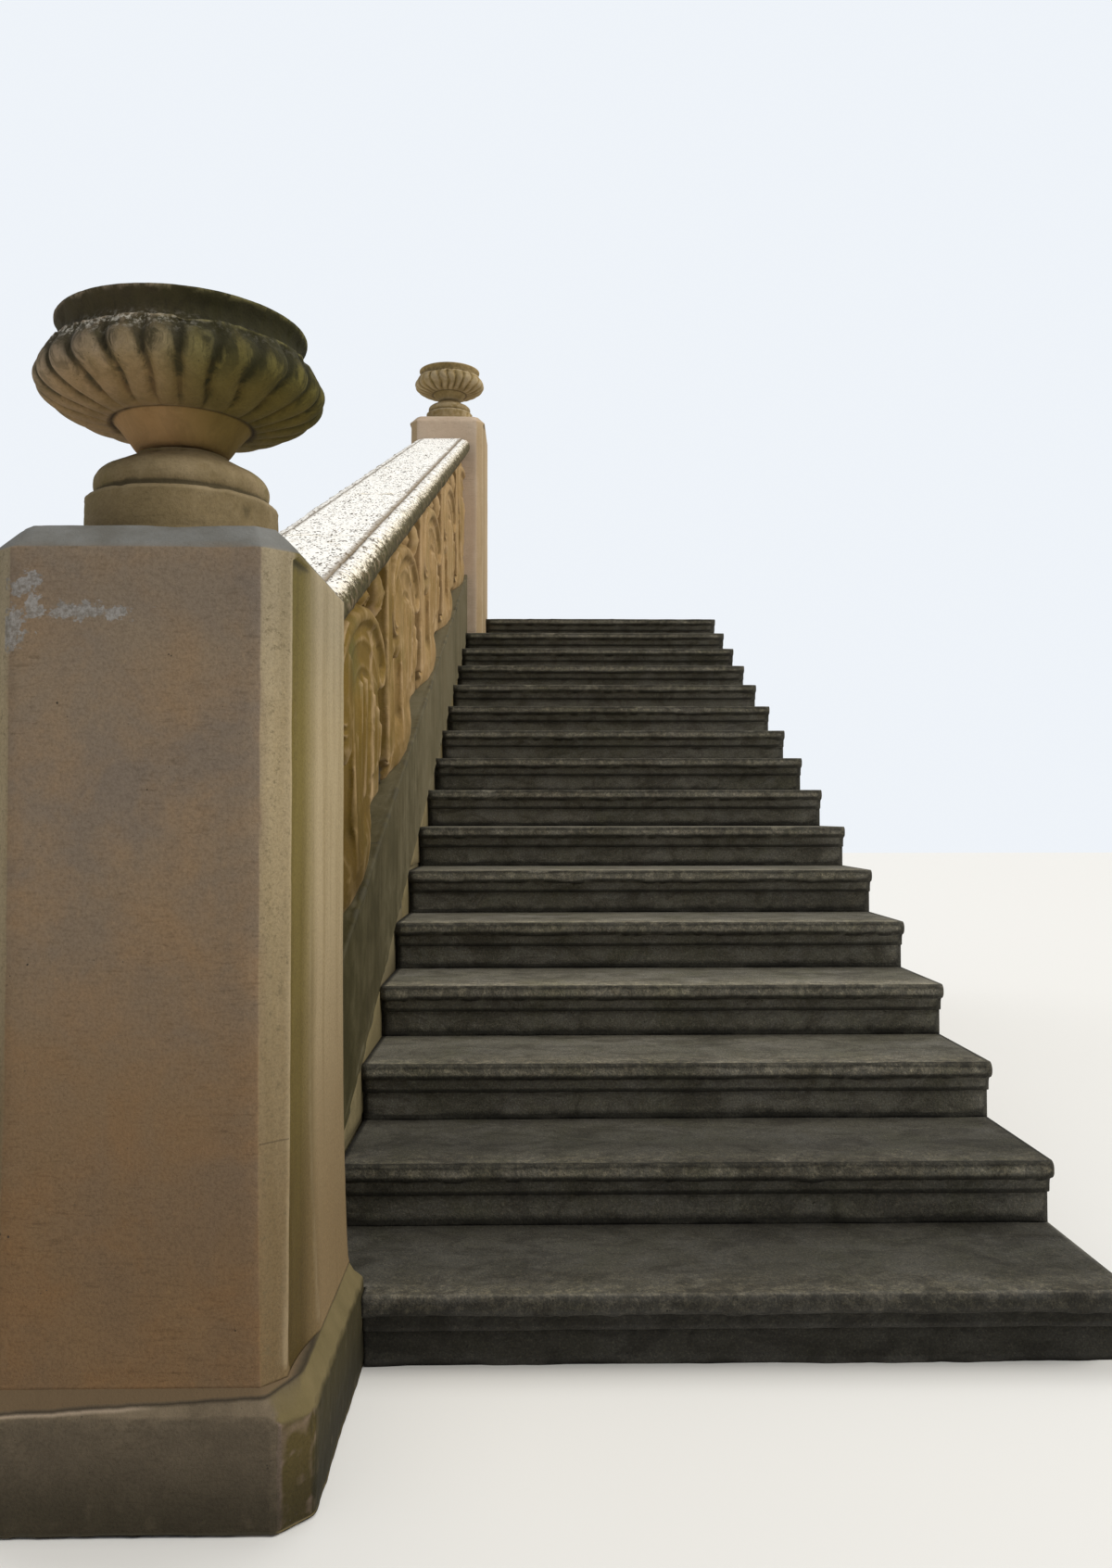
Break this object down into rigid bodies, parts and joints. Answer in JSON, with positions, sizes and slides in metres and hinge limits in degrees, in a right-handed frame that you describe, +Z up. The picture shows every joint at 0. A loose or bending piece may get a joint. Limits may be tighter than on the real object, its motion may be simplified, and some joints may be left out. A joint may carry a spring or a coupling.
{
  "type": "garden stair balustrade",
  "caption": "Raking stone handrail over pierced scroll panels on a string, between two pedestals with gadrooned urns, bonded to a flight of moulded garden steps.",
  "frame": {"origin": "centre of the underside of the lower pedestal's plinth, at ground level", "axes": "+X from the balustrade across the steps, +Y up the flight, +Z up"},
  "size_m": [1.972, 5.94, 3.7918],
  "materials": {
    "pedestal_stone": "weathered",
    "urn_stone": "weathered",
    "rail_stone": "weathered",
    "carved_stone": "weathered",
    "string_stone": "weathered",
    "walling": "weathered",
    "step_stone": "weathered"
  },
  "bodies": {
    "root": {"lower_plinth": "pedestal_stone", "lower_die": "pedestal_stone", "lower_urn_foot": "urn_stone", "lower_urn_bowl": "urn_stone", "upper_pier": "walling", "upper_die": "pedestal_stone", "upper_urn_foot": "urn_stone", "upper_urn_bowl": "urn_stone", "handrail_1": "rail_stone", "handrail_2": "rail_stone", "handrail_3": "rail_stone", "handrail_4": "rail_stone", "handrail_5": "rail_stone", "panel_1": "carved_stone", "panel_2": "carved_stone", "panel_3": "carved_stone", "panel_4": "carved_stone", "panel_5": "carved_stone", "string_1": "string_stone", "string_2": "string_stone", "string_3": "string_stone", "string_4": "string_stone", "string_5": "string_stone", "string_wall": "walling", "step_1": "step_stone", "step_2": "step_stone", "step_3": "step_stone", "step_4": "step_stone", "step_5": "step_stone", "step_6": "step_stone", "step_7": "step_stone", "step_8": "step_stone", "step_9": "step_stone", "step_10": "step_stone", "step_11": "step_stone", "step_12": "step_stone", "step_13": "step_stone", "step_14": "step_stone", "step_15": "step_stone", "step_16": "step_stone", "stair_core": "walling"}
  },
  "joints": []
}
